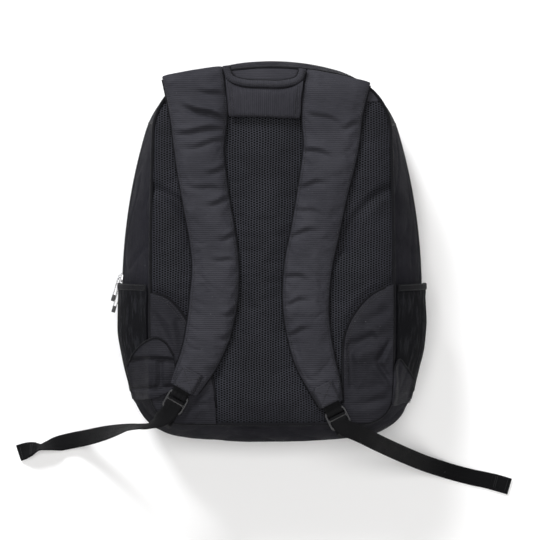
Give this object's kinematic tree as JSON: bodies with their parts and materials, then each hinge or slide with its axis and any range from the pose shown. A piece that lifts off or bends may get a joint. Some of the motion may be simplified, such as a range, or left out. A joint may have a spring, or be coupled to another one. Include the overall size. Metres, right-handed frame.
{
  "type": "school backpack",
  "caption": "School backpack lying face down: padded mesh back, two curved shoulder straps with webbing adjusters, zipped compartments and side mesh pockets.",
  "frame": {"origin": "on the flat front pocket face that the bag lies on, on the centre line, 232 mm above the bag's foot", "axes": "+Z out of the bag's back towards the wearer, +Y towards the top of the bag, +X to the wearer's right when the back is seen"},
  "size_m": [0.6182, 0.5352, 0.1558],
  "materials": {
    "pack_cloth": "charcoal ribbed nylon",
    "strap_cloth": "charcoal ribbed nylon, padded",
    "air_mesh": "black spacer mesh",
    "pocket_mesh": "black knitted pocket mesh",
    "webbing": "black woven webbing",
    "zip_tape": "black zip tape",
    "foam": "closed-cell foam",
    "board": "moulded board",
    "coil": "black nylon coil",
    "lock": "black moulded plastic",
    "zip_metal": "nickel-plated"
  },
  "bodies": {
    "bag": {"top_gusset": "pack_cloth", "side_gusset_left": "pack_cloth", "side_gusset_right": "pack_cloth", "bottom_panel": "pack_cloth", "front_gusset": "pack_cloth", "back_top_panel": "pack_cloth", "back_corner_left": "pack_cloth", "back_corner_right": "pack_cloth", "back_piping": "pack_cloth", "front_piping": "pack_cloth", "front_panel": "pack_cloth", "pocket_face": "pack_cloth", "pocket_arch_front": "pack_cloth", "pocket_arch_back": "pack_cloth", "pocket_gusset": "pack_cloth", "side_wing_left": "pack_cloth", "side_wing_right": "pack_cloth", "neck_binding": "pack_cloth", "strap_cover_left": "strap_cloth", "strap_cover_right": "strap_cloth", "yoke_handle": "strap_cloth", "back_mesh": "air_mesh", "strap_lining_left": "air_mesh", "strap_lining_right": "air_mesh", "side_pocket_left": "pocket_mesh", "side_pocket_right": "pocket_mesh", "side_pocket_binding_left": "webbing", "side_pocket_binding_right": "webbing", "strap_webbing_left": "webbing", "strap_webbing_right": "webbing", "lower_webbing_left": "webbing", "lower_webbing_right": "webbing", "tail_left": "webbing", "tail_right": "webbing", "tail_hem_left": "webbing", "tail_hem_right": "webbing", "main_zip_tape_back": "zip_tape", "main_zip_tape_front": "zip_tape", "pocket_zip_tape": "zip_tape", "back_foam": "foam", "strap_foam_left": "foam", "strap_foam_right": "foam", "frame_sheet": "board", "main_zip_coil": "coil", "pocket_zip_coil": "coil", "adjuster_left": "lock", "adjuster_right": "lock"},
    "main_upper_slider": {"main_upper_slider": "zip_metal"},
    "main_upper_pull": {"main_upper_pull": "zip_metal"},
    "main_lower_slider": {"main_lower_slider": "zip_metal"},
    "main_lower_pull": {"main_lower_pull": "zip_metal"},
    "pocket_slider": {"pocket_slider": "zip_metal"},
    "pocket_pull": {"pocket_pull": "zip_metal"}
  },
  "joints": [
    {"name": "main_upper_zip", "type": "hinge", "parent": "bag", "child": "main_upper_slider", "pos_m": [0.518, -0.05, 0.054], "axis": [0, 0, -1], "range_deg": [0, 12.5]},
    {"name": "main_upper_pull_swing", "type": "hinge", "parent": "main_upper_slider", "child": "main_upper_pull", "pos_m": [-0.18623, -0.03037, 0.054], "axis": [0, 0, -1], "range_deg": [-5, 145]},
    {"name": "main_lower_zip", "type": "hinge", "parent": "bag", "child": "main_lower_slider", "pos_m": [0.518, -0.05, 0.054], "axis": [0, 0, 1], "range_deg": [0, 9.5]},
    {"name": "main_lower_pull_swing", "type": "hinge", "parent": "main_lower_slider", "child": "main_lower_pull", "pos_m": [-0.18647, -0.04396, 0.054], "axis": [0, 0, -1], "range_deg": [-5, 145]},
    {"name": "pocket_zip", "type": "hinge", "parent": "bag", "child": "pocket_slider", "pos_m": [0, -0.19762, 0.015], "axis": [0, 0, -1], "range_deg": [0, 24]},
    {"name": "pocket_pull_swing", "type": "hinge", "parent": "pocket_slider", "child": "pocket_pull", "pos_m": [-0.06469, 0.1067, 0.015], "axis": [0, 0, -1], "range_deg": [-5, 145]}
  ]
}
